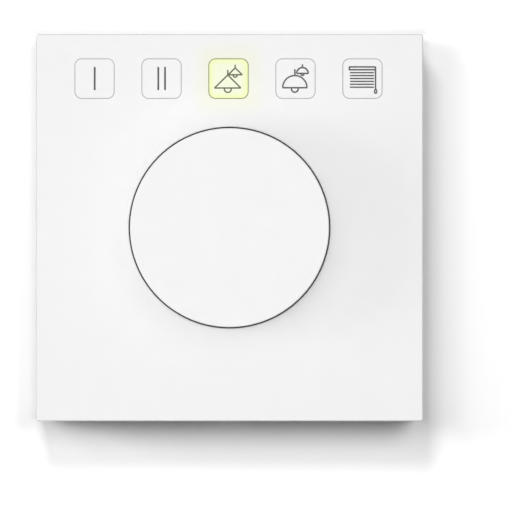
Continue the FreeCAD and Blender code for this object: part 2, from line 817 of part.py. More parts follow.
def buffer_capacitor():
    """Small can capacitor standing on a square plastic base."""
    x, z = capacitor_place
    base_size = 2 * (capacitor_radius + capacitor_base_edge)
    base_back_y, can_back_y = bus_back_y + capacitor_base_thickness, bus_back_y + capacitor_length
    base = centred_block(base_size, base_size, bus_back_y, base_back_y, x, z)
    can = disc(capacitor_radius, base_back_y, can_back_y, x, z)
    can = can.makeFillet(capacitor_edge_radius, front_edges(can, can_back_y))
    return base.fuse(can).removeSplitter()


def terminal_block():
    body = terminal_opening(bus_back_y, terminal_back_y, 0.0)
    space_low = wire_z - wire_radius - part_gap
    space_high = pusher_z + pusher_height / 2 + fit_gap
    for x in pole_places:
        body = body.cut(disc(wire_radius, wire_end_y, terminal_back_y, x, wire_z))
        body = body.cut(centred_block(pusher_width + 2 * fit_gap, pusher_height + 2 * fit_gap, wire_end_y,
                                      terminal_back_y, x, pusher_z))
        body = body.cut(block(x - clamp_width / 2 - fit_gap, x + clamp_width / 2 + fit_gap,
                              clamp_space_front_y, wire_end_y, space_low, space_high))
        body = body.cut(disc(terminal_pin_radius + touch_gap, bus_back_y, clamp_space_front_y, x, wire_z))
        mouth = FreeCAD.Vector(x, terminal_back_y - wire_funnel, wire_z)
        body = body.cut(Part.makeCone(wire_radius, wire_radius + wire_funnel, wire_funnel, mouth, back))
    return body.removeSplitter()


def terminal_pins():
    pin_front_y = bus_front_y - pin_stick_out
    return Part.makeCompound([disc(terminal_pin_radius, pin_front_y, clamp_space_front_y, x, wire_z)
                              for x in pole_places])


def terminal_clamp(x):
    """Bent spring strip: foot on the floor of its space, arm under the wire entry and the pusher."""
    foot = clamp_space_front_y
    low = wire_z - wire_radius
    high = pusher_z + pusher_height / 2
    bend = pusher_z - pusher_height / 2
    strip = clamp_strip
    arm = wire_end_y - touch_gap
    tip = arm - clamp_space_depth / 2
    outer = [(foot, low), (foot, high), (arm, high), (arm, bend), (tip + strip, wire_z)]
    inner = [(tip, wire_z), (arm - strip, bend), (arm - strip, high - strip), (foot + strip, high - strip),
             (foot + strip, low)]
    return extruded_x(outer + inner, x - clamp_width / 2, x + clamp_width / 2)


def terminal_pusher(x):
    stem = centred_block(pusher_width, pusher_height, wire_end_y + part_gap, pusher_back_y, x, pusher_z)
    stem = stem.makeChamfer(pusher_slot / 2, front_edges(stem, pusher_back_y))
    groove = centred_block(pusher_width, pusher_slot, pusher_back_y - pusher_slot, pusher_back_y, x, pusher_z)
    return stem.cut(groove)


def export(node, shape):
    shape.exportStep("parts/" + node + ".step")
    print(node, len(shape.Solids), "solid", "valid" if shape.isValid() else "NOT VALID",
          "%.2f mm3" % shape.Volume)


os.makedirs("parts", exist_ok=True)

export("front_plate", front_plate())
export("plate_adhesive", plate_adhesive())
export("dust_ring", dust_ring())
export("touch_foil", touch_foil())
export("foil_socket", foil_socket())
export("light_box", light_box())
for number, place in enumerate(icon_places, 1):
    export("icon_diffuser_%d" % number, icon_diffuser(place))
    export("icon_led_%d" % number, icon_led(place))
export("carrier_frame", carrier_frame())
export("main_board", main_board())
export("board_screws", board_screws())
export("touch_chip", chip(touch_chip_size, touch_chip_thickness, touch_chip_place))
export("control_chip", chip(control_chip_size, control_chip_thickness, control_chip_place))
export("encoder_housing", encoder_housing())
export("encoder_clamp", encoder_clamp())
export("encoder_pins", encoder_pins())
export("encoder_bushing", encoder_bushing())
export("encoder_washer", encoder_washer())
export("encoder_nut", encoder_nut())
export("switch_dome", switch_dome())
export("encoder_rotor", encoder_rotor())
export("encoder_shaft", encoder_shaft())
export("shaft_circlip", shaft_circlip())
export("knob_shell", knob_shell())
export("knob_core", knob_core())
export("knob_clip", knob_clip())
export("rear_plate", rear_plate())
export("rear_box", rear_box())
export("housing_screws", housing_screws())
export("wall_bracket", wall_bracket())
export("link_socket", link_socket())
export("link_header", link_header())
export("link_pins", link_pins())
export("bus_board", bus_board())
export("bus_board_screws", bus_board_screws())
export("rectifier", board_box(rectifier_size, rectifier_place))
for number, place in enumerate(optocoupler_places, 1):
    export("optocoupler_%d" % number, board_box(optocoupler_size, place))
export("buffer_capacitor", buffer_capacitor())
export("terminal_block", terminal_block())
export("terminal_pins", terminal_pins())
for number, place in enumerate(pole_places, 1):
    export("terminal_clamp_%d" % number, terminal_clamp(place))
    export("terminal_pusher_%d" % number, terminal_pusher(place))
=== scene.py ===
import bmesh
import bpy
import json
import math
import numpy as np
from functools import reduce
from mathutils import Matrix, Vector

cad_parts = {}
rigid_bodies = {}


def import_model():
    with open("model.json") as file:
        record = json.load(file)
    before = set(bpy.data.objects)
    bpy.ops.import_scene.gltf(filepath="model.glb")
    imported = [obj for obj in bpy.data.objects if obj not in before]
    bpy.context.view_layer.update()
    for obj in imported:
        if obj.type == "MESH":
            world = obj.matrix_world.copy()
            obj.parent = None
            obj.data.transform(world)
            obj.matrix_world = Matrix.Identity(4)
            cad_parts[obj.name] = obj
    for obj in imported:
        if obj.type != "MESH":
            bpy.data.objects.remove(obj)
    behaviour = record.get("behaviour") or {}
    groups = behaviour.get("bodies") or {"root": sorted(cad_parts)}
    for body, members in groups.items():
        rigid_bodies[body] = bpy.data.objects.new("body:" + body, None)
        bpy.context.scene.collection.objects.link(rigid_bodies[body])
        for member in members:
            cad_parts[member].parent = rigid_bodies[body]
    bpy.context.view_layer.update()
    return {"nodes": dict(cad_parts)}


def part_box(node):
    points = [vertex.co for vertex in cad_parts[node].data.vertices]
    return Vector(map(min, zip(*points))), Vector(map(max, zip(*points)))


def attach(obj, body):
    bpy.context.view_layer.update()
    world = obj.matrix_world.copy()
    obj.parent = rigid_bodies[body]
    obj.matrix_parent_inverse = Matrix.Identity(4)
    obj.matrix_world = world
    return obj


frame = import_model()
nodes = frame["nodes"]
print("frame loaded:", len(nodes), "nodes")

mm = 0.001


# A node socket that can stand in a sum: each sign adds one Math node
class Wire:
    def __init__(self, finish, socket):
        self.finish = finish
        self.socket = socket

    def math(self, operation, first, second=0.0):
        return self.finish.node("ShaderNodeMath", {"operation": operation}, {0: first, 1: second})

    def __add__(self, other):
        return self.math("ADD", self, other)

    def __sub__(self, other):
        return self.math("SUBTRACT", self, other)

    def __rsub__(self, other):
        return self.math("SUBTRACT", other, self)

    def __mul__(self, other):
        return self.math("MULTIPLY", self, other)

    def __truediv__(self, other):
        return self.math("DIVIDE", self, other)

    def __gt__(self, other):
        return self.math("GREATER_THAN", self, other)

    def __lt__(self, other):
        return self.math("LESS_THAN", self, other)

    __radd__ = __add__
    __rmul__ = __mul__

    def absolute(self):
        return self.math("ABSOLUTE", self)

    def root(self):
        return self.math("SQRT", self)

    def sine(self):
        return self.math("SINE", self)

    def most(self, other):
        return self.math("MAXIMUM", self, other)

    def least(self, other):
        return self.math("MINIMUM", self, other)

    # 0 below low, 1 above high, smooth in between
    def ramp(self, low, high):
        return self.finish.node("ShaderNodeMapRange", {"interpolation_type": "SMOOTHSTEP"},
                                {"Value": self, "From Min": low, "From Max": high})


# One material with its nodes. Places are the object's own coordinates in millimetres.
class Finish:
    def __init__(self, name):
        self.material = bpy.data.materials.new(name)
        self.material.use_nodes = True
        self.tree = self.material.node_tree
        self.tree.nodes.clear()
        metres = self.node("ShaderNodeTexCoord", output="Object")
        self.spot = self.node("ShaderNodeVectorMath", {"operation": "SCALE"}, {0: metres, "Scale": 1 / mm})
        apart = self.tree.nodes.new("ShaderNodeSeparateXYZ")
        self.plug(apart.inputs[0], self.spot)
        self.x, self.y, self.z = (Wire(self, socket) for socket in apart.outputs)

    # A link where the value is a wire, else the socket's own value
    def plug(self, socket, value):
        if isinstance(value, Wire):
            self.tree.links.new(value.socket, socket)
        else:
            socket.default_value = value

    # Any node: its settings first, then the values or links of its sockets
    def node(self, kind, settings=None, sockets=None, output=0):
        made = self.tree.nodes.new(kind)
        for name, value in (settings or {}).items():
            setattr(made, name, value)
        for name, value in (sockets or {}).items():
            self.plug(made.inputs[name], value)
        return Wire(self, made.outputs[output])

    # Cloudy noise from 0 to 1 with features of about this size; stretch draws it out along x, y or z
    def noise(self, size, detail=2.0, stretch=(1.0, 1.0, 1.0), shift=0.0):
        spot = self.node("ShaderNodeMapping", {}, {"Vector": self.spot, "Location": (shift, shift, shift),
                                                   "Scale": [1 / (size * s) for s in stretch]})
        return self.node("ShaderNodeTexNoise", {}, {"Vector": spot, "Scale": 1.0, "Detail": detail})

    # Cells of about this size: distance to the middle, or each cell's own random colour
    def cells(self, size, output="Distance"):
        spot = self.node("ShaderNodeMapping", {}, {"Vector": self.spot, "Scale": [1 / size] * 3})
        return self.node("ShaderNodeTexVoronoi", {}, {"Vector": spot, "Scale": 1.0}, output)

    # The first colour where share is 0, the second blended in where it is 1
    def mix(self, share, first, second, blend="MIX"):
        made = self.tree.nodes.new("ShaderNodeMix")
        made.data_type = "RGBA"
        made.blend_type = blend
        for index, value in ((0, share), (6, first), (7, second)):
            if isinstance(value, tuple) and len(value) == 3:
                value = (*value, 1.0)
            self.plug(made.inputs[index], value)
        return Wire(self, made.outputs[2])

    # The colour multiplied by a tint where mask is 1, as it was where mask is 0
    def stain(self, mask, colour, tint):
        return self.mix(mask, colour, self.mix(1.0, colour, tint, "MULTIPLY"))

    # Distance in mm from the axis through x, z that runs along y
    def fromAxis(self, x=0.0, z=0.0):
        across, up = self.x - x, self.z - z
        return (across * across + up * up).root()

    # Distance in mm outside the rectangle round x, z with these half sizes, 0 inside it
    def fromBox(self, x, z, halfWidth, halfHeight):
        across = ((self.x - x).absolute() - halfWidth).most(0.0)
        up = ((self.z - z).absolute() - halfHeight).most(0.0)
        return (across * across + up * up).root()

    # The shader on the material's output
    def show(self, shader):
        out = self.tree.nodes.new("ShaderNodeOutputMaterial")
        self.plug(out.inputs["Surface"], shader)
        return self.material

    # The principled shader with its relief, a height in mm, and the colour of the light it gives off
    def surface(self, colour, roughness, relief, metallic=0.0, glow=None):
        bump = self.node("ShaderNodeBump", {}, {"Height": relief, "Distance": mm, "Strength": 1.0})
        plugs = {"Base Color": colour, "Roughness": roughness, "Metallic": metallic, "Normal": bump}
        if glow:
            plugs.update({"Emission Color": glow, "Emission Strength": 1.0})
        return self.show(self.node("ShaderNodeBsdfPrincipled", {}, plugs))


# The same level in all three channels
def grey(level):
    return (level, level, level)


# Each channel times the factor
def tinted(colour, factor):
    return tuple(channel * factor for channel in colour)


# A look's roughness, spread round its value by a pattern that runs from 0 to 1
def roughOver(look, pattern):
    return look["roughness"] + look["spread"] * (pattern - 0.5)


# Quads between the neighbours of a grid of points: each point, the next in its row and the two in the next
# row. A wrapped direction joins its last line to its first.
def gridFaces(rows, columns, wrapRows, wrapColumns):
    row, column = np.meshgrid(np.arange(rows - (not wrapRows)), np.arange(columns - (not wrapColumns)),
                              indexing="ij")
    nextRow, nextColumn = (row + 1) % rows, (column + 1) % columns
    corners = [row * columns + column, row * columns + nextColumn,
               nextRow * columns + nextColumn, nextRow * columns + column]
    return np.stack(corners, -1).reshape(-1, 4)


meshCare = {"mergeReach": 0.0005 * mm, "sharpAngle": 35.0}


# One mesh from several grids: their points one after the other, doubles merged and faces turned outwards
def makePiece(name, grids, material, body):
    points, faces, first = [], [], 0
    for grid, wrapRows, wrapColumns in grids:
        rows, columns = grid.shape[:2]
        points.append(grid.reshape(-1, 3))
        faces.append(gridFaces(rows, columns, wrapRows, wrapColumns) + first)
        first += rows * columns
    points, faces = np.concatenate(points) * mm, np.concatenate(faces)
    mesh = bpy.data.meshes.new(name)
    mesh.vertices.add(len(points))
    mesh.vertices.foreach_set("co", points.ravel())
    mesh.loops.add(faces.size)
    mesh.loops.foreach_set("vertex_index", faces.ravel())
    mesh.polygons.add(len(faces))
    mesh.polygons.foreach_set("loop_start", np.arange(0, faces.size, 4))
    mesh.update(calc_edges=True)
    editing = bmesh.new()
    editing.from_mesh(mesh)
    bmesh.ops.remove_doubles(editing, verts=editing.verts, dist=meshCare["mergeReach"])
    bmesh.ops.recalc_face_normals(editing, faces=editing.faces)
    editing.to_mesh(mesh)
    editing.free()
    mesh.polygons.foreach_set("use_smooth", np.ones(len(mesh.polygons), bool))
    mesh.set_sharp_from_angle(angle=math.radians(meshCare["sharpAngle"]))
    piece = bpy.data.objects.new(name, mesh)
    bpy.context.scene.collection.objects.link(piece)
    mesh.materials.append(material)
    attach(piece, body)


# Each vector divided by its own length
def unit(vectors):
    return vectors / np.linalg.norm(vectors, axis=-1, keepdims=True)


penLook = {"sides": 12, "capSteps": 5, "sink": 0.01, "tiny": 1e-9}


# A line drawn with a round pen on the plane y = face. At each point the pen's section lies across the path:
# half its width times the cosine of an angle sideways, its height times the root of the sine outwards, and
# its lower half just inside the face. At a free end the section shrinks along a quarter circle, so the end
# is round. side is -1 on a face that looks to minus y and 1 on one that looks to plus y.
def penStroke(path, closed, width, height, face, side=-1):
    path = np.asarray(path, float)
    half, capSteps = width / 2, penLook["capSteps"]
    if closed:
        along = unit(np.roll(path, -1, 0) - np.roll(path, 1, 0))
        centre, size = path, np.ones(len(path))
    else:
        along = unit(np.gradient(path, axis=0))
        turn = np.linspace(0, math.pi / 2, capSteps, endpoint=False)
        reach = half * np.cos(turn)[:, None]
        centre = np.vstack([path[0] - along[0] * reach, path, path[-1] + along[-1] * reach[::-1]])
        size = np.concatenate([np.sin(turn), np.ones(len(path)), np.sin(turn[::-1])])
        along = np.vstack([np.repeat(along[:1], capSteps, 0), along, np.repeat(along[-1:], capSteps, 0)])
    across = np.stack([-along[:, 1], along[:, 0]], -1)
    angle = np.linspace(0, 2 * math.pi, penLook["sides"], endpoint=False)
    sideways, upwards = half * np.cos(angle), np.sin(angle)
    lift = np.where(upwards > penLook["tiny"], height * np.sqrt(np.clip(upwards, 0, 1)), -penLook["sink"])
    grid = np.empty((len(centre), len(angle), 3))
    grid[..., 0] = centre[:, :1] + across[:, :1] * sideways * size[:, None]
    grid[..., 2] = centre[:, 1:] + across[:, 1:] * sideways * size[:, None]
    grid[..., 1] = face + side * lift * size[:, None]
    return grid, closed, True


# Corner arcs of a rectangle with rounded corners, as one closed path that runs anticlockwise: each arc is the
# corner's centre plus the radius times cosine and sine
def roundedPath(width, height, radius, x, z, steps=9):
    angle = np.linspace(0, math.pi / 2, steps)
    arcs = []
    for turn, (sx, sz) in enumerate(((1, 1), (-1, 1), (-1, -1), (1, -1))):
        turned = angle + turn * math.pi / 2
        arcs.append(np.stack([x + sx * (width / 2 - radius) + radius * np.cos(turned),
                              z + sz * (height / 2 - radius) + radius * np.sin(turned)], -1))
    return np.concatenate(arcs)


# A closed path through corner points, each corner cut by a short arc of a quadratic curve that starts and
# ends at the distance cut from the corner
def softCorners(corners, cut, steps=5):
    corners = np.asarray(corners, float)
    before, after = np.roll(corners, 1, 0), np.roll(corners, -1, 0)
    start = corners + unit(before - corners) * cut
    end = corners + unit(after - corners) * cut
    t = np.linspace(0, 1, steps)[None, :, None]
    curve = (1 - t) ** 2 * start[:, None] + 2 * t * (1 - t) * corners[:, None] + t ** 2 * end[:, None]
    return curve.reshape(-1, 2)


# Evenly spaced points between two ends
def straight(x0, z0, x1, z1, steps=5):
    t = np.linspace(0, 1, steps)[:, None]
    return np.array([[x0, z0]]) * (1 - t) + np.array([[x1, z1]]) * t


# Part of a circle, centre plus radius times cosine and sine, angles in degrees from the x axis towards z
def arcPath(x, z, radius, start, end, steps=25):
    angle = np.radians(np.linspace(start, end, steps))
    return np.stack([x + radius * np.cos(angle), z + radius * np.sin(angle)], -1)


# A whole circle as a closed path
def circlePath(x, z, radius, steps):
    return arcPath(x, z, radius, 0, 360, steps + 1)[:-1]


filmLook = {"rings": 7, "sink": 0.01}


# A flat film: a closed path drawn in to its middle, on top at its height, underneath just inside the face
def filmGrid(path, x, z, height, face, side=-1):
    rings = filmLook["rings"]
    middle = np.array([[x, z]])
    inward = np.concatenate([np.linspace(0, 1, rings), [1, 0]])
    lift = np.concatenate([np.full(rings, height), np.full(2, -filmLook["sink"])])
    points = middle + (path - middle)[None] * inward[:, None, None]
    grid = np.empty((len(inward), len(path), 3))
    grid[..., 0], grid[..., 2] = points[..., 0], points[..., 1]
    grid[..., 1] = face + side * lift[:, None]
    return grid, False, True


# The row of printed touch fields: x is the middle one's, row their height, face the plate's front
fieldPrint = {"x": -0.23, "row": 33.14, "pitch": 14.88, "width": 8.74, "height": 8.80, "corner": 1.5,
              "line": 0.22, "drop": 0.03, "lift": 0.02, "face": -12.0}

# White front parts. The glow is the lit field's light, painted as a tint on the face round it: tint up to the
# distance near, farTint up to far. The edge look is a painted shade on the plate's narrow rounded border, a
# touch darker than its face.
plateLook = {"colour": (0.868, 0.868, 0.866), "shade": (0.861, 0.861, 0.862), "cloudSize": 22.0,
             "cloudSpan": (0.35, 0.65), "grainSize": 0.16, "grainDepth": 0.0012, "waveSize": 9.0,
             "waveDepth": 0.003, "roughness": 0.36, "spread": 0.08, "smudgeSize": 3.0}
knobLook = {**plateLook, "colour": (0.888, 0.888, 0.886), "shade": (0.881, 0.881, 0.882), "cloudSize": 11.0}
edgeShadeLook = {"from": 42.68, "to": 42.86, "front": -11.6, "shade": 0.86, "topLess": 0.7}
paintedGlowLook = {"half": 4.4, "front": -11.0, "tint": (1.0, 1.0, 0.94), "farTint": (0.99, 0.995, 0.86),
            "near": 0.7, "far": 4.9}


# Satin plastic: two near whites after a soft cloud, fine grain on a slow wave, smudges in the roughness
def whitePlastic(name, look, glow=None, edge=None):
    f = Finish(name)
    cloud = f.noise(look["cloudSize"], detail=3.0)
    colour = f.mix(cloud.ramp(*look["cloudSpan"]), look["colour"], look["shade"])
    if glow:
        # painted light: the lit field's glow, a yellow tint in the plate's colour round the field
        gap = f.fromBox(fieldPrint["x"], fieldPrint["row"], glow["half"], glow["half"])
        front = f.y < glow["front"]
        colour = f.stain((1 - gap.ramp(0.0, glow["far"])) * front, colour, glow["farTint"])
        colour = f.stain((1 - gap.ramp(0.0, glow["near"])) * front, colour, glow["tint"])
    if edge:
        # painted shade: the colour darkened on the plate's narrow border, less at the top
        border = f.x.absolute().most(f.z.absolute()).ramp(edge["from"], edge["to"]) * (f.y < edge["front"])
        border = border * (1 - edge["topLess"] * (f.z > edge["from"]))
        colour = f.stain(border, colour, grey(edge["shade"]))
    grain = f.noise(look["grainSize"]) * look["grainDepth"]
    wave = f.noise(look["waveSize"], detail=1.0) * look["waveDepth"]
    return f.surface(colour, roughOver(look, f.noise(look["smudgeSize"], detail=4.0)), grain + wave)


# What all moulded pieces share, and the values that hold where a piece's own look has none
mouldLook = {"streakSize": 3.5, "streakStretch": (1.0, 1.0, 2.5), "streakSpan": (0.3, 0.7), "noiseShare": 0.6,
             "patchSize": 1.6, "spread": 0.12, "grainSize": 0.2, "flow": 0.04}
ejectorLook = {"depth": 0.05, "rim": 0.02, "rimWidth": 0.12, "edge": 0.1, "reach": 0.3, "paintedSheen": 1.05,
               "share": 0.5, "polish": 0.12}


# Moulded plastic: fine spark-eroded grain, faint flow marks, and round marks of the ejector pins at
# marks = (x, z, radius, y), each a sunk, smoother disc inside a raised rim
def mouldedPlastic(name, look, marks=()):
    f = Finish(name)
    look = {**mouldLook, **look}
    colour, flow, share = look["colour"], look["flow"], look["noiseShare"]
    streaks = f.noise(look["streakSize"], 3.0, look["streakStretch"]).ramp(*look["streakSpan"])
    base = f.mix(streaks, tinted(colour, 1 - flow), tinted(colour, 1 + flow / 2))
    texture = f.noise(look["grainSize"], detail=3.0) * share + f.cells(look["grainSize"]) * (1 - share)
    relief = texture * look["grainDepth"]
    roughness = roughOver(look, f.noise(look["patchSize"], detail=3.0))
    for x, z, radius, y in marks:
        here = (f.y - y).absolute() < ejectorLook["reach"]
        away = f.fromAxis(x, z)
        disc = (1 - away.ramp(radius - ejectorLook["edge"], radius)) * here
        rim = (1 - (away - radius).absolute().ramp(0.0, ejectorLook["rimWidth"])) * here
        relief = relief - disc * ejectorLook["depth"] + rim * ejectorLook["rim"]
        # painted sheen: the disc's colour lifted a little, beside its real lower roughness
        base = f.mix(disc * ejectorLook["share"], base, tinted(colour, ejectorLook["paintedSheen"]))
        roughness = roughness - disc * ejectorLook["polish"]
    return f.surface(base, roughness, relief)


zincLook = {"spangle": 0.9, "dark": (0.58, 0.59, 0.60), "light": (0.66, 0.67, 0.68), "toneSpan": (0.1, 0.9),
            "straw": (0.64, 0.61, 0.53), "strawSize": 11.0, "strawSpan": (0.48, 0.68), "strawShare": 0.3,
            "lineSize": 0.12, "lineStretch": (1.0, 1.0, 40.0), "lineDepth": 0.004,
            "scratchSize": 0.5, "scratchStretch": (30.0, 1.0, 1.0), "scratchSpan": (0.66, 0.72),
            "scratchShift": 3.0, "scratchDepth": 0.003,
            "roughness": 0.42, "spread": 0.06, "lineSpread": 0.1, "scratchSpread": 0.08}


# Zinc plated sheet: crystals of slightly different brightness, fine rolling lines and a faint straw tint
def zincSheet(name, look):
    f = Finish(name)
    crystal = f.cells(look["spangle"], "Color")
    tone = f.node("ShaderNodeRGBToBW", {}, {0: crystal})
    base = f.mix(tone.ramp(*look["toneSpan"]), look["dark"], look["light"])
    straw = f.noise(look["strawSize"], detail=3.0).ramp(*look["strawSpan"])
    base = f.mix(straw * look["strawShare"], base, look["straw"])
    lines = f.noise(look["lineSize"], 2.0, look["lineStretch"])
    scratches = f.noise(look["scratchSize"], 1.0, look["scratchStretch"], look["scratchShift"])
    scratches = scratches.ramp(*look["scratchSpan"])
    roughness = roughOver(look, tone) + look["lineSpread"] * (lines - 0.5) + look["scratchSpread"] * scratches
    relief = lines * look["lineDepth"] - scratches * look["scratchDepth"]
    return f.surface(base, roughness, relief, 1.0)


turnLook = {"ringPitch": 0.18, "ringDepth": 0.002, "waverSize": 0.8, "waver": 3.0, "cloudSize": 1.8,
            "cloudSpan": (0.3, 0.7), "shade": 0.9, "spread": 0.1}


# Turned metal: tool rings round the nearest of several axes, a sine of the distance, plus a soft cloud
def turnedMetal(name, look, axes):
    f = Finish(name)
    look = {**turnLook, **look}
    radius = reduce(Wire.least, [f.fromAxis(x, z) for x, z in axes])
    waver = f.noise(look["waverSize"]) * look["waver"]
    rings = (radius * (2 * math.pi / look["ringPitch"]) + waver).sine()
    cloud = f.noise(look["cloudSize"], detail=3.0)
    base = f.mix(cloud.ramp(*look["cloudSpan"]), tinted(look["colour"], look["shade"]), look["colour"])
    return f.surface(base, roughOver(look, cloud), rings * look["ringDepth"], 1.0)


stripLook = {"lineSize": 0.1, "lineDepth": 0.003, "stainSize": 1.5, "stainSpan": (0.35, 0.7), "shade": 0.86,
             "spread": 0.14}


# Strip metal: lines drawn out along one direction, with faint stains
def stripMetal(name, look):
    f = Finish(name)
    look = {**stripLook, **look}
    lines = f.noise(look["lineSize"], 3.0, look["stretch"])
    stain = f.noise(look["stainSize"], detail=3.0).ramp(*look["stainSpan"])
    base = f.mix(stain, look["colour"], tinted(look["colour"], look["shade"]))
    return f.surface(base, roughOver(look, lines), lines * look["lineDepth"], 1.0)


# bend, region and ground are in pitches of the tracks, all other lengths in mm
boardLook = {"bend": 3, "region": 7, "regionSpan": (0.49, 0.51), "trackSpan": (0.55, 0.8), "ground": 5,
             "groundShift": 7.0, "groundSpan": (0.54, 0.55), "mask": (0.018, 0.115, 0.05),
             "overCopper": (0.035, 0.20, 0.085), "flux": (0.02, 0.09, 0.05), "fluxSize": 0.3,
             "fluxSpan": (0.4, 0.9), "fluxShare": 0.3, "pad": (0.70, 0.71, 0.72), "roughness": 0.28,
             "spread": 0.1, "spreadSize": 0.9, "padRoughness": 0.12, "copperDepth": 0.02, "padDepth": 0.03}


# Solder mask over tracks: tracks are where the sine of x or of z is large, each in its own regions, and bare
# metal lies in a circle at each hole = (x, z, radius)
def circuitBoard(name, pitch, holes):
    f = Finish(name)
    look = boardLook
    bend = f.noise(pitch * look["bend"], detail=1.0) * pitch
    upright = ((f.x + bend) * (2 * math.pi / pitch)).sine().absolute()
    level = ((f.z + bend) * (2 * math.pi / pitch)).sine().absolute()
    region = f.noise(pitch * look["region"], detail=1.0).ramp(*look["regionSpan"])
    track = (upright * region + level * (1 - region)).ramp(*look["trackSpan"])
    ground = f.noise(pitch * look["ground"], 1.0, shift=look["groundShift"]).ramp(*look["groundSpan"])
    copper = track.most(ground)
    flux = f.noise(look["fluxSize"]).ramp(*look["fluxSpan"])
    pad = reduce(Wire.most, [f.fromAxis(x, z) < radius for x, z, radius in holes])
    base = f.mix(copper, look["mask"], look["overCopper"])
    base = f.mix(flux * look["fluxShare"], base, look["flux"])
    base = f.mix(pad, base, look["pad"])
    roughness = roughOver(look, f.noise(look["spreadSize"])) + look["padRoughness"] * pad
    return f.surface(base, roughness, copper * look["copperDepth"] + pad * look["padDepth"], pad)


chipLook = {"dark": (0.018, 0.018, 0.019), "light": (0.034, 0.034, 0.036), "leg": (0.72, 0.72, 0.70),
            "grainSize": 0.12, "grainDepth": 0.006, "dotPlace": 0.7, "dotRadius": 0.45, "dotDepth": 0.06,
            "roughness": 0.55, "legPolish": 0.25, "dotPolish": 0.3, "spread": 0.1}


# A black moulded part with a sunk dot in one corner, whose legs, outside a rectangle, are tinned
def chipFinish(name, x, z, halfWidth, halfHeight):
    f = Finish(name)
    look = chipLook
    leg = ((f.x - x).absolute() > halfWidth).most((f.z - z).absolute() > halfHeight)
    grain = f.noise(look["grainSize"], detail=3.0)
    corner = f.fromAxis(x - halfWidth * look["dotPlace"], z + halfHeight * look["dotPlace"])
    dot = (corner < look["dotRadius"]) * (1 - leg)
    base = f.mix(leg, f.mix(grain, look["dark"], look["light"]), look["leg"])
    roughness = roughOver(look, grain) - look["legPolish"] * leg - look["dotPolish"] * dot
    return f.surface(base, roughness, grain * look["grainDepth"] - dot * look["dotDepth"], leg)


canLook = {"footBack": 6.0, "foot": (0.03, 0.03, 0.032), "dark": (0.70, 0.70, 0.71),
           "light": (0.80, 0.80, 0.81), "lineSize": 0.08, "lineStretch": (1.0, 30.0, 1.0), "lineDepth": 0.003,
           "cloudSize": 2.0, "cloudSpan": (0.3, 0.7), "roughness": 0.5, "polish": 0.2, "spread": 0.08}


# A bare aluminium can, drawn along y, on a black foot
def canFinish(name, look):
    f = Finish(name)
    can = f.y > look["footBack"]
    lines = f.noise(look["lineSize"], 2.0, look["lineStretch"])
    cloud = f.noise(look["cloudSize"], detail=3.0).ramp(*look["cloudSpan"])
    base = f.mix(can, look["foot"], f.mix(cloud, look["dark"], look["light"]))
    return f.surface(base, roughOver(look, lines) - look["polish"] * can, lines * look["lineDepth"], can)


sealLook = {"colour": (0.088, 0.088, 0.090), "dust": (0.15, 0.149, 0.147), "dustSize": 0.35,
            "dustSpan": (0.55, 0.8), "dustShare": 0.4, "roughness": 0.72, "spread": 0.1, "grainSize": 0.2,
            "grainDepth": 0.01}


# Black rubber with a little dust
def rubberSeal(name, look):
    f = Finish(name)
    dust = f.noise(look["dustSize"], detail=4.0).ramp(*look["dustSpan"])
    base = f.mix(dust * look["dustShare"], look["colour"], look["dust"])
    grain = f.noise(look["grainSize"], detail=3.0)
    return f.surface(base, roughOver(look, dust), grain * look["grainDepth"])


tapeLook = {"wall": (0.66, 0.65, 0.61), "bubble": (0.80, 0.79, 0.75), "bubbleSize": 0.3,
            "bubbleSpan": (0.1, 0.6), "bubbleDepth": 0.03, "roughness": 0.85, "spread": 0.1}


# Foam of small bubbles
def foamTape(name, look):
    f = Finish(name)
    bubbles = f.cells(look["bubbleSize"])
    base = f.mix(bubbles.ramp(*look["bubbleSpan"]), look["wall"], look["bubble"])
    return f.surface(base, roughOver(look, bubbles), bubbles * look["bubbleDepth"])


foilLook = {"dark": (0.72, 0.60, 0.36), "light": (0.80, 0.70, 0.46), "cloudSize": 4.0,
            "silver": (0.62, 0.62, 0.60), "turns": 4.0, "lineFrom": 0.9, "lineDepth": 0.01, "metal": 0.7,
            "roughness": 0.28, "spread": 0.1}


# Amber film with printed electrodes, a grid of lines where the sine of x or z is near its peaks
def touchFilm(name, look):
    f = Finish(name)
    upright, level = ((place * look["turns"]).sine().absolute() > look["lineFrom"] for place in (f.x, f.z))
    weave = upright.most(level)
    cloud = f.noise(look["cloudSize"])
    base = f.mix(weave, f.mix(cloud, look["dark"], look["light"]), look["silver"])
    return f.surface(base, roughOver(look, cloud), weave * look["lineDepth"], weave * look["metal"])


# lit is the plain window colour tinted yellow green: painted lamp light on the same frosted plastic
windowLook = {"plain": (0.84, 0.86, 0.84), "lit": (0.80, 0.86, 0.62), "shade": 0.94, "frostSize": 0.12,
              "frostSpan": (0.3, 0.7), "frostDepth": 0.006, "roughness": 0.55, "spread": 0.1}


# Frosted window over a lamp
def frostedWindow(name, colour, look):
    f = Finish(name)
    frost = f.noise(look["frostSize"], detail=3.0)
    base = f.mix(frost.ramp(*look["frostSpan"]), colour, tinted(colour, look["shade"]))
    return f.surface(base, roughOver(look, frost), frost * look["frostDepth"])


lampLook = {"dark": (0.82, 0.82, 0.80), "light": (0.90, 0.90, 0.88), "resin": (0.88, 0.76, 0.22),
            "radius": 1.1, "grainSize": 0.1, "grainDepth": 0.004, "roughness": 0.35, "spread": 0.1,
            "off": (0.0, 0.0, 0.0), "lit": (0.9, 1.0, 0.35)}


# Lamp: white housing, yellow resin in the round window, which gives off the glow
def lampFinish(name, x, z, glow, look):
    f = Finish(name)
    resin = f.fromAxis(x, z) < look["radius"]
    grain = f.noise(look["grainSize"])
    base = f.mix(resin, f.mix(grain, look["dark"], look["light"]), look["resin"])
    light = f.mix(resin, look["off"], glow)
    return f.surface(base, roughOver(look, grain), grain * look["grainDepth"], glow=light)


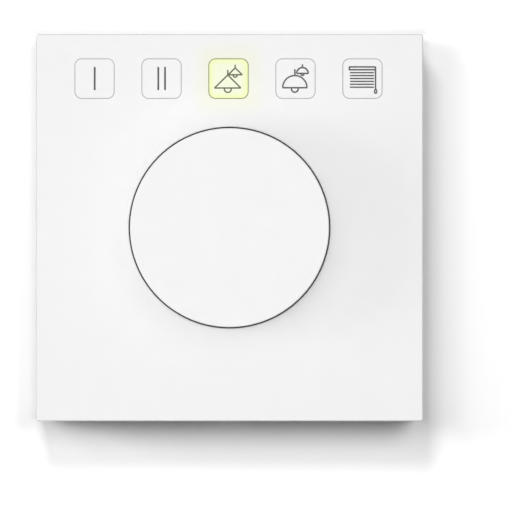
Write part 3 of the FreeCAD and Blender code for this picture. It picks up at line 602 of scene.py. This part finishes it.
# The middle of a node and its half sizes in mm
def nodeMiddle(node):
    low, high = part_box(node)
    return [(low[i] + high[i]) / 2 / mm for i in (0, 1, 2)], [(high[i] - low[i]) / 2 / mm for i in (0, 1, 2)]


# One finish on each of these CAD nodes, in place of what they had
def dress(material, *names):
    for name in names:
        mesh = nodes[name].data
        mesh.materials.clear()
        mesh.materials.append(material)


dress(whitePlastic("satinWhitePlate", plateLook, paintedGlowLook, edgeShadeLook), "front_plate")
dress(whitePlastic("satinWhiteKnob", knobLook), "knob_shell")
dress(rubberSeal("sealRubber", sealLook), "dust_ring")
dress(foamTape("foamTape", tapeLook), "plate_adhesive")
dress(touchFilm("touchFilm", foilLook), "touch_foil")

carrierLook = {"colour": (0.26, 0.26, 0.265), "roughness": 0.48, "grainSize": 0.22, "grainDepth": 0.005}
chamberLook = {"colour": (0.86, 0.86, 0.85), "roughness": 0.45, "grainSize": 0.3, "grainDepth": 0.003,
               "flow": 0.02}
connectorLook = {"colour": (0.03, 0.03, 0.032), "roughness": 0.45, "grainDepth": 0.004, "flow": 0.15}
rotorLook = {"colour": (0.76, 0.74, 0.66), "roughness": 0.4, "grainDepth": 0.003}
coreLook = {"colour": (0.78, 0.78, 0.77), "roughness": 0.5, "grainSize": 0.3, "grainDepth": 0.004}
terminalLook = {"colour": (0.30, 0.32, 0.34), "roughness": 0.48, "grainDepth": 0.005, "flow": 0.08}
pusherLook = {"colour": (0.80, 0.24, 0.03), "roughness": 0.38, "grainDepth": 0.003, "flow": 0.08}
dress(mouldedPlastic("carrierGrey", carrierLook), "carrier_frame")
dress(mouldedPlastic("chamberWhite", chamberLook), "light_box")
dress(mouldedPlastic("connectorBlack", connectorLook), "foil_socket", "encoder_housing", "link_socket",
      "link_header")
dress(mouldedPlastic("rotorPlastic", rotorLook), "encoder_rotor")
dress(mouldedPlastic("corePlastic", coreLook), "knob_core")
dress(mouldedPlastic("terminalGrey", terminalLook), "terminal_block")
dress(mouldedPlastic("pusherOrange", pusherLook), "terminal_pusher_1", "terminal_pusher_2")

# Rear housing, with the marks of its ejector pins on the rear faces of plate and box
housingLook = {"colour": (0.60, 0.61, 0.62), "roughness": 0.5, "grainSize": 0.3, "grainDepth": 0.006,
               "flow": 0.03}
plateMark = {"radius": 1.6, "y": -1.5, "places": ((38.0, 8.0), (15.0, 38.0))}  # on both sides of both middles
boxMark = {"radius": 1.8, "y": 17.0, "places": ((-14.5, 10.0), (14.5, 10.0), (-12.5, -12.5), (12.5, -12.5))}
plateMarks = [(sx * x, sz * z, plateMark["radius"], plateMark["y"]) for x, z in plateMark["places"]
              for sx in (-1, 1) for sz in (-1, 1)]
boxMarks = [(x, z, boxMark["radius"], boxMark["y"]) for x, z in boxMark["places"]]
dress(mouldedPlastic("plateGrey", housingLook, plateMarks), "rear_plate")
dress(mouldedPlastic("boxGrey", housingLook, boxMarks), "rear_box")

litNumber = 3
for number in range(1, 6):
    lit = number == litNumber
    windowColour = windowLook["lit" if lit else "plain"]
    dress(frostedWindow("frostedWindow%d" % number, windowColour, windowLook), "icon_diffuser_%d" % number)
    middle = nodeMiddle("icon_led_%d" % number)[0]
    glow = lampLook["lit" if lit else "off"]
    dress(lampFinish("lampResin%d" % number, middle[0], middle[2], glow, lampLook), "icon_led_%d" % number)

# Both boards: places of what is soldered or screwed to them, as (x, z) and for pads (x, z, radius)
boardScrews = [(side * 31.0, z) for side in (-1, 1) for z in (21.05, -31.0)]
housingScrews = [(side * 37.3, z) for side in (-1, 1) for z in (21.85, -36.0)]
busBoardScrews = [(-16.13, 7.52), (16.13, 7.52)]
padLook = {"pin": 0.85, "screw": 2.0, "pole": 1.0, "pinStep": 2.5, "pinRow": 6.15, "linkStep": 2.54,
           "linkRow": 13.0, "poleX": 2.75, "poleRow": -14.5}
screwPads = [(x, z, padLook["screw"]) for x, z in boardScrews]
encoderPads = [(i * padLook["pinStep"], -padLook["pinRow"], padLook["pin"]) for i in (-1, 0, 1)]
encoderPads += [(i * padLook["pinStep"], padLook["pinRow"], padLook["pin"]) for i in (-1, 1)]
linkPads = [((column - 1.5) * padLook["linkStep"], padLook["linkRow"] + (row - 0.5) * padLook["linkStep"],
             padLook["pin"]) for column in range(4) for row in range(2)]
polePads = [(side * padLook["poleX"], padLook["poleRow"], padLook["pole"]) for side in (-1, 1)]
trackPitch = {"main": 1.1, "bus": 1.4}
dress(circuitBoard("mainBoardMask", trackPitch["main"], encoderPads + screwPads), "main_board")
dress(circuitBoard("busBoardMask", trackPitch["bus"], linkPads + polePads), "bus_board")

# How far the legs reach past each body, to the sides and up and down
legReach = {"touch_chip": (0.7, 0.7), "control_chip": (0.7, 0.7), "rectifier": (0.0, 0.8),
            "optocoupler_1": (0.0, 0.8), "optocoupler_2": (0.0, 0.8)}
for node, (sideways, upwards) in legReach.items():
    middle, half = nodeMiddle(node)
    dress(chipFinish(node.replace("_", "") + "Black", middle[0], middle[2], half[0] - sideways,
                     half[2] - upwards), node)
dress(canFinish("canAluminium", canLook), "buffer_capacitor")

screwLook = {"colour": (0.62, 0.63, 0.64), "roughness": 0.34}
nickelLook = {"colour": (0.70, 0.68, 0.64), "roughness": 0.24}
springLook = {"colour": (0.64, 0.64, 0.65), "roughness": 0.3, "stretch": (1.0, 1.0, 20.0)}
contactLook = {"colour": (0.83, 0.66, 0.34), "roughness": 0.25, "stretch": (1.0, 20.0, 1.0)}
turret = [(0.0, 0.0)]
dress(zincSheet("zincBracket", zincLook), "wall_bracket")
dress(turnedMetal("zincScrew", screwLook, boardScrews + housingScrews), "board_screws", "housing_screws")
dress(turnedMetal("zincScrewSmall", screwLook, busBoardScrews), "bus_board_screws")
dress(turnedMetal("nickelTurned", nickelLook, turret), "encoder_bushing", "encoder_nut", "encoder_washer",
      "encoder_shaft")
dress(stripMetal("springStrip", springLook), "encoder_clamp", "switch_dome", "shaft_circlip", "knob_clip",
      "terminal_clamp_1", "terminal_clamp_2")
dress(stripMetal("goldContact", contactLook), "encoder_pins", "link_pins", "terminal_pins")
print("CAD nodes dressed")


inkLook = {"speckSize": 0.08, "speckSpan": (0.35, 0.65), "tint": 0.05, "roughness": 0.48, "spread": 0.1,
           "depth": 0.002}


# Screen printed ink with a fine speckle
def inkFinish(name, colour, look=inkLook):
    f = Finish(name)
    speck = f.noise(look["speckSize"], detail=3.0)
    dark, light = tinted(colour, 1 - look["tint"]), tinted(colour, 1 + look["tint"])
    base = f.mix(speck.ramp(*look["speckSpan"]), dark, light)
    return f.surface(base, roughOver(look, speck), speck * look["depth"])


frameInk = inkFinish("frameInkGrey", grey(0.42))
# the lit field's inks are the same inks tinted yellow green: painted back light
litFrameInk = inkFinish("frameInkLit", (0.20, 0.215, 0.10))
symbolInk = inkFinish("symbolInkGrey", grey(0.048))
litSymbolInk = inkFinish("symbolInkLit", (0.09, 0.095, 0.05))

symbolPrint = {"line": 0.37, "lift": 0.03, "cut": 0.14, "arcSteps": 33}
penRound = symbolPrint["line"] / 2


# The pen along a straight line on the plate's face
def lineStroke(x0, z0, x1, z1, width=symbolPrint["line"]):
    return penStroke(straight(x0, z0, x1, z1), False, width, symbolPrint["lift"], fieldPrint["face"])


# The pen along any path on the plate's face
def curveStroke(path, closed=False, width=symbolPrint["line"]):
    return penStroke(path, closed, width, symbolPrint["lift"], fieldPrint["face"])


# In each symbol x, z is the middle of its field and the looks give distances from there
barLook = {"x": 0.03, "reach": 2.40, "gap": 0.75, "line": 0.44}


# Upright bars, one on each side named
def barSymbol(x, z, sides):
    reach = barLook["reach"]
    middles = [x + barLook["x"] + side * barLook["gap"] for side in sides]
    return [lineStroke(middle, z - reach, middle, z + reach, barLook["line"]) for middle in middles]


# A round lamp whose middle lies bulbDrop below the shade's base line, drawn from that line round to it again:
# the sine of the angle at which it starts is the drop over the radius
def bulbStroke(x, base, look):
    lean = math.degrees(math.asin(look["bulbDrop"] / look["bulb"]))
    return curveStroke(arcPath(x, base - look["bulbDrop"], look["bulb"], 180 - lean, 360 + lean,
                               symbolPrint["arcSteps"]))


coneLook = [{"x": -0.15, "top": 1.93, "apex": 0.78, "left": -3.10, "right": 2.74, "base": -2.115,
             "bulb": 0.77, "bulbDrop": 0.20},
            {"x": 1.48, "top": 3.10, "apex": 2.35, "left": -0.05, "right": 3.05, "base": 0.83,
             "bulb": 0.43, "bulbDrop": 0.12}]


# Two cone shades: cord, triangle with cut corners and a round lamp under it
def coneSymbol(x, z):
    strokes = []
    for cone in coneLook:
        middle, apex, base = x + cone["x"], z + cone["apex"], z + cone["base"]
        corners = [(x + cone["left"], base), (x + cone["right"], base), (middle, apex)]
        strokes.append(curveStroke(softCorners(corners, symbolPrint["cut"]), True))
        strokes.append(lineStroke(middle, apex, middle, z + cone["top"] - penRound))
        strokes.append(bulbStroke(middle, base, cone))
    return strokes


domeLook = [{"x": -0.14, "top": 2.12, "radius": 2.70, "base": -2.05, "rim": 0.04, "bulb": 0.74,
             "bulbDrop": 0.26},
            {"x": 1.55, "top": 3.19, "radius": 1.29, "base": 1.13, "rim": -0.02, "bulb": 0.32,
             "bulbDrop": 0.14}]
domeStart = 4  # degrees above the base line, where the arch begins and ends


# Two dome shades: cord, half circle closed by its base line, a round lamp
def domeSymbol(x, z):
    strokes = []
    for dome in domeLook:
        middle, base, radius = x + dome["x"], z + dome["base"], dome["radius"]
        arch = arcPath(middle, base, radius, domeStart, 180 - domeStart, symbolPrint["arcSteps"])
        rim = radius + dome["rim"]
        strokes.append(curveStroke(np.vstack([arch, [[middle - rim, base], [middle + rim, base]]]), True))
        strokes.append(lineStroke(middle, base + radius, middle, z + dome["top"] - penRound))
        strokes.append(bulbStroke(middle, base, dome))
    return strokes


blindLook = {"left": -2.91, "right": 2.90, "top": 2.57, "bottom": 1.94, "railCut": 0.07, "slatLeft": -2.64,
             "slatRight": 2.41, "firstSlat": 1.29, "slatStep": 0.646, "slats": 6, "slatLine": 0.34,
             "cordEnd": -2.22, "pullX": 2.93, "pullZ": -2.83, "pullWidth": 0.24, "pullHeight": 0.46,
             "pullTaper": 0.12, "pullLine": 0.33, "pullSteps": 24}


# Blind: head rail, slats, cord and a drop shaped pull, an ellipse that is narrower at its top
def blindSymbol(x, z):
    look = blindLook
    left, right, top, bottom = x + look["left"], x + look["right"], z + look["top"], z + look["bottom"]
    rail = [(left, bottom), (right, bottom), (right, top), (left, top)]
    strokes = [curveStroke(softCorners(rail, look["railCut"]), True)]
    for i in range(look["slats"]):
        slat = z + look["firstSlat"] - i * look["slatStep"]
        strokes.append(lineStroke(x + look["slatLeft"], slat, x + look["slatRight"], slat, look["slatLine"]))
    strokes.append(lineStroke(right, bottom, right, z + look["cordEnd"]))
    angle = np.linspace(0, 2 * math.pi, look["pullSteps"], endpoint=False)
    taper = 1 - look["pullTaper"] * np.cos(angle)
    drop = np.stack([x + look["pullX"] + look["pullWidth"] * np.sin(angle) * taper,
                     z + look["pullZ"] + look["pullHeight"] * np.cos(angle)], -1)
    strokes.append(curveStroke(drop[::-1], True, look["pullLine"]))
    return strokes


symbols = {"oneBar": lambda x, z: barSymbol(x, z, (0,)), "twoBars": lambda x, z: barSymbol(x, z, (-1, 1)),
           "coneLamps": coneSymbol, "domeLamps": domeSymbol, "blind": blindSymbol}
for number, (label, draw) in enumerate(symbols.items(), 1):
    x = fieldPrint["x"] + (number - litNumber) * fieldPrint["pitch"]
    ink, symbol = (litFrameInk, litSymbolInk) if number == litNumber else (frameInk, symbolInk)
    outline = roundedPath(fieldPrint["width"], fieldPrint["height"], fieldPrint["corner"], x,
                          fieldPrint["row"] - fieldPrint["drop"])
    stroke = penStroke(outline, True, fieldPrint["line"], fieldPrint["lift"], fieldPrint["face"])
    makePiece("field_frame_" + label, [stroke], ink, "panel")
    makePiece("field_symbol_" + label, draw(x, fieldPrint["row"]), symbol, "panel")

# The lit field: a film of light inside the third frame, yellower towards its edges
litLook = {"width": 8.6, "height": 8.7, "corner": 1.5, "lift": 0.012, "rim": 1.4,
           "centre": (0.50, 0.52, 0.38), "edge": (0.48, 0.52, 0.22), "glowCentre": (0.388, 0.406, 0.316),
           "glowEdge": (0.392, 0.416, 0.202), "speckSize": 0.5, "roughness": 0.45, "spread": 0.05,
           "depth": 0.002}


# Distance inwards from the rounded edge: the corner radius less the distance outside the box that the middle
# points of the corner arcs span
def litFinish(look):
    f = Finish("litField")
    corner = look["corner"]
    inwards = corner - f.fromBox(fieldPrint["x"], fieldPrint["row"], look["width"] / 2 - corner,
                                 look["height"] / 2 - corner)
    edge = (1 - inwards / look["rim"]).most(0.0)
    speck = f.noise(look["speckSize"])
    base = f.mix(edge, look["centre"], look["edge"])
    glow = f.mix(edge, look["glowCentre"], look["glowEdge"])
    return f.surface(base, roughOver(look, speck), speck * look["depth"], glow=glow)


litOutline = roundedPath(litLook["width"], litLook["height"], litLook["corner"], fieldPrint["x"],
                         fieldPrint["row"])
litFilm = filmGrid(litOutline, fieldPrint["x"], fieldPrint["row"], litLook["lift"], fieldPrint["face"])
makePiece("lit_field", [litFilm], litFinish(litLook), "panel")
print("touch fields printed")

labelLook = {"x": 0.0, "z": 7.0, "width": 19.4, "height": 11.4, "corner": 0.9, "thick": 0.18, "face": 16.7,
             "dark": (0.60, 0.61, 0.62), "light": (0.66, 0.67, 0.68), "cloudSize": 5.0, "lineSize": 0.06,
             "lineStretch": (40.0, 1.0, 1.0), "lineDepth": 0.002, "roughness": 0.42, "spread": 0.1,
             "metal": 0.6}


# Silver film on the rear box, brushed along x
def labelFinish(look):
    f = Finish("labelSilver")
    lines = f.noise(look["lineSize"], 2.0, look["lineStretch"])
    base = f.mix(f.noise(look["cloudSize"]), look["dark"], look["light"])
    return f.surface(base, roughOver(look, lines), lines * look["lineDepth"], look["metal"])


labelOutline = roundedPath(labelLook["width"], labelLook["height"], labelLook["corner"], labelLook["x"],
                           labelLook["z"])
labelFilm = filmGrid(labelOutline, labelLook["x"], labelLook["z"], labelLook["thick"], labelLook["face"], 1)
makePiece("rear_label", [labelFilm], labelFinish(labelLook), "panel")
labelTop = labelLook["face"] + labelLook["thick"]

# Places in the label's picture, from the label's middle
drawingLook = {"line": 0.22, "height": 0.012, "inset": 0.9, "borderCorner": 0.5, "poleX": -5.6, "poleZ": 1.5,
               "poleRadius": 0.6, "poleSteps": 24, "wireFrom": -4.7, "wireTo": -1.2, "boxX": 1.6,
               "boxSize": 5.0, "boxCorner": 0.4, "knobRadius": 1.4, "knobSteps": 32, "gaugeX": 4.6,
               "gaugeZ": -2.8, "gaugeHalf": 1.4, "tickHalf": 1.6, "tickReach": 0.4}


# Wiring picture without words: two wires from two terminals to a box with a knob, a strip gauge below
def labelDrawing(look):
    def pen(path, closed=False):
        return penStroke(path, closed, look["line"], look["height"], labelTop, 1)
    x, z = labelLook["x"], labelLook["z"]
    border = roundedPath(labelLook["width"] - 2 * look["inset"], labelLook["height"] - 2 * look["inset"],
                         look["borderCorner"], x, z)
    boxX, gaugeX, gaugeZ = x + look["boxX"], x + look["gaugeX"], z + look["gaugeZ"]
    strokes = [pen(border, True)]
    for side in (-1, 1):
        wireZ, tickX = z + side * look["poleZ"], gaugeX + side * look["tickHalf"]
        strokes.append(pen(circlePath(x + look["poleX"], wireZ, look["poleRadius"], look["poleSteps"]), True))
        strokes.append(pen(straight(x + look["wireFrom"], wireZ, x + look["wireTo"], wireZ)))
        strokes.append(pen(straight(tickX, gaugeZ + look["tickReach"], tickX, gaugeZ - look["tickReach"])))
    strokes.append(pen(roundedPath(look["boxSize"], look["boxSize"], look["boxCorner"], boxX, z), True))
    strokes.append(pen(circlePath(boxX, z, look["knobRadius"], look["knobSteps"]), True))
    strokes.append(pen(straight(gaugeX - look["gaugeHalf"], gaugeZ, gaugeX + look["gaugeHalf"], gaugeZ)))
    return strokes


labelInk = inkFinish("labelInk", (0.06, 0.06, 0.065))
makePiece("label_drawing", labelDrawing(drawingLook), labelInk, "panel")
print("rear label made")

# The wall: reach and y in metres, all else in mm. The shade is the darker line of wall close to the panel.
wallLook = {"reach": 0.3, "y": 0.3 * mm, "colour": 0.80, "seen": 1.22, "fadeFrom": 160.0, "fadeTo": 260.0,
            "half": 43.0, "shadeFrom": 0.2, "shadeTo": 2.2, "shade": 0.13, "shadeTop": 0.15, "topBlend": 0.5,
            "topStretch": 0.6, "shadeEnd": (-43.2, -42.2)}


# Diffuse paint that the camera sees brighter than light does. It is clear from behind and for shadows, and
# fades into the white round it with the distance from the panel's middle. Close beside and above the panel,
# up to shadeTo from its sides, it is a little darker, as where a plate keeps the light of the room away.
def backdropFinish(name, look):
    f = Finish(name)
    beside = (f.x.absolute() - look["half"]).most(0.0)
    above = (f.z - look["half"]).most(0.0) * look["topStretch"]
    close = 1 - (beside * beside + above * above).root().ramp(look["shadeFrom"], look["shadeTo"])
    top = f.z.ramp(look["half"] - look["topBlend"], look["half"] + look["topBlend"])
    depth = look["shade"] + look["shadeTop"] * top
    painted = f.mix(close * f.z.ramp(*look["shadeEnd"]) * depth, grey(look["seen"]), grey(0.0))
    away = f.fromAxis().ramp(look["fadeFrom"], look["fadeTo"])
    camera = f.node("ShaderNodeLightPath", output="Is Camera Ray")
    shadow = f.node("ShaderNodeLightPath", output="Is Shadow Ray")
    behind = f.node("ShaderNodeNewGeometry", output="Backfacing")
    paint = f.node("ShaderNodeBsdfDiffuse", {}, {"Color": f.mix(camera, grey(look["colour"]), painted)})
    clear = f.node("ShaderNodeBsdfTransparent")
    return f.show(f.node("ShaderNodeMixShader", {}, {0: shadow.most(behind).most(away), 1: paint, 2: clear}))


# A square that faces the camera, corner by corner
def makeWall(look):
    reach, y = look["reach"], look["y"]
    corners = [(-reach, y, -reach), (reach, y, -reach), (reach, y, reach), (-reach, y, reach)]
    mesh = bpy.data.meshes.new("wall")
    mesh.from_pydata(corners, [], [(0, 1, 2, 3)])
    mesh.materials.append(backdropFinish("wallPaint", look))
    wall = bpy.data.objects.new("wall", mesh)
    bpy.context.scene.collection.objects.link(wall)
    return wall


# The wall and the object each have their own lamps
backdrop = bpy.data.collections.new("backdrop")
objectPieces = bpy.data.collections.new("objectPieces")
wall = makeWall(wallLook)
backdrop.objects.link(wall)
for item in bpy.context.scene.objects:
    if item.type == "MESH" and item.name not in backdrop.objects:
        objectPieces.objects.link(item)

# Each lamp is a square that looks at the panel, its place and side in metres
wallLamps = {
    "wallFarLeft": {"place": (-1.06, -0.42, 0.17), "side": 0.3, "watts": 4.9},
    "wallSideLeft": {"place": (-0.77, -0.77, 0.38), "side": 0.4, "watts": 1.76},
    "wallLeft": {"place": (-0.59, -0.98, 0.10), "side": 0.3, "watts": 1.79},
    "wallTop": {"place": (-0.17, -0.85, 0.76), "side": 0.3, "watts": 4.67},
    "wallRight": {"place": (0.50, -1.00, 0.25), "side": 0.5, "watts": 4.44},
}
objectLamps = {
    "front": {"place": (0.0, -3.0, 0.0), "side": 0.5, "watts": 12.88},
    "key": {"place": (-0.3, -3.0, 0.3), "side": 0.5, "watts": 5.3},
    "wideFront": {"place": (0.0, -1.2, 0.0), "side": 1.6, "watts": 7.15},
    "farLeft": {"place": (-1.3, -0.45, 0.0), "side": 0.6, "watts": 5.4},
    "lowerLeft": {"place": (-1.0, -1.0, -0.5), "side": 0.6, "watts": 1.44},
    "above": {"place": (0.0, -0.9, 0.9), "side": 0.8, "watts": 1.47},
    "right": {"place": (0.9, -0.9, 0.0), "side": 0.8, "watts": 1.55},
    "back": {"place": (0.5, 1.2, 0.6), "side": 1.2, "watts": 9.0},
    "backFill": {"place": (-0.8, 1.1, -0.3), "side": 1.0, "watts": 5.0},
}


# An area lamp whose own minus z axis points from its place to the origin, and which lights one group alone
def addLamp(name, look, group):
    light = bpy.data.lights.new(name, "AREA")
    light.shape = "RECTANGLE"
    light.size = light.size_y = look["side"]
    light.energy = look["watts"]
    lamp = bpy.data.objects.new(name, light)
    bpy.context.scene.collection.objects.link(lamp)
    lamp.location = look["place"]
    lamp.rotation_euler = (-lamp.location).to_track_quat("-Z", "Y").to_euler()
    lamp.visible_camera = False
    lamp.light_linking.receiver_collection = group


for group, lamps in ((backdrop, wallLamps), (objectPieces, objectLamps)):
    for name, look in lamps.items():
        addLamp(name, look, group)

# World: white where it is seen or mirrored, a weak even light elsewhere
worldLook = {"seen": 1.0, "ambient": 0.1}


# The background's strength is seen for rays of the camera, of gloss and of clear surfaces, else ambient
def makeWorld(look):
    world = bpy.data.worlds.new("studio")
    world.use_nodes = True
    tree = world.node_tree
    tree.nodes.clear()
    path = tree.nodes.new("ShaderNodeLightPath")
    seen = path.outputs["Is Camera Ray"]
    for ray in ("Is Glossy Ray", "Is Transmission Ray"):
        either = tree.nodes.new("ShaderNodeMath")
        either.operation = "MAXIMUM"
        tree.links.new(seen, either.inputs[0])
        tree.links.new(path.outputs[ray], either.inputs[1])
        seen = either.outputs[0]
    level = tree.nodes.new("ShaderNodeMapRange")
    level.inputs["To Min"].default_value = look["ambient"]
    level.inputs["To Max"].default_value = look["seen"]
    tree.links.new(seen, level.inputs["Value"])
    white = tree.nodes.new("ShaderNodeBackground")
    white.inputs["Color"].default_value = (1, 1, 1, 1)
    tree.links.new(level.outputs[0], white.inputs["Strength"])
    out = tree.nodes.new("ShaderNodeOutputWorld")
    tree.links.new(white.outputs[0], out.inputs["Surface"])
    bpy.context.scene.world = world


makeWorld(worldLook)

# Camera straight on, in mm: frameWidth is what it sees of the plate's front plane from side to side
cameraLook = {"x": 5.66, "z": -6.08, "plane": -12.0, "distance": 4500.0, "frameWidth": 113.32, "sensor": 36.0,
              "clip": (0.05, 60.0)}


# The lens is the sensor's width times the distance, over the width seen there
def placeCamera(look):
    camera = bpy.data.cameras.new("photoCamera")
    camera.sensor_width = look["sensor"]
    camera.lens = look["sensor"] * look["distance"] / look["frameWidth"]
    camera.clip_start, camera.clip_end = look["clip"]
    viewer = bpy.data.objects.new("photoCamera", camera)
    viewer.location = (look["x"] * mm, (look["plane"] - look["distance"]) * mm, look["z"] * mm)
    viewer.rotation_euler = (math.radians(90), 0, 0)
    bpy.context.scene.collection.objects.link(viewer)
    bpy.context.scene.camera = viewer


placeCamera(cameraLook)
bpy.context.scene.view_settings.view_transform = "Standard"
print("light and camera placed")
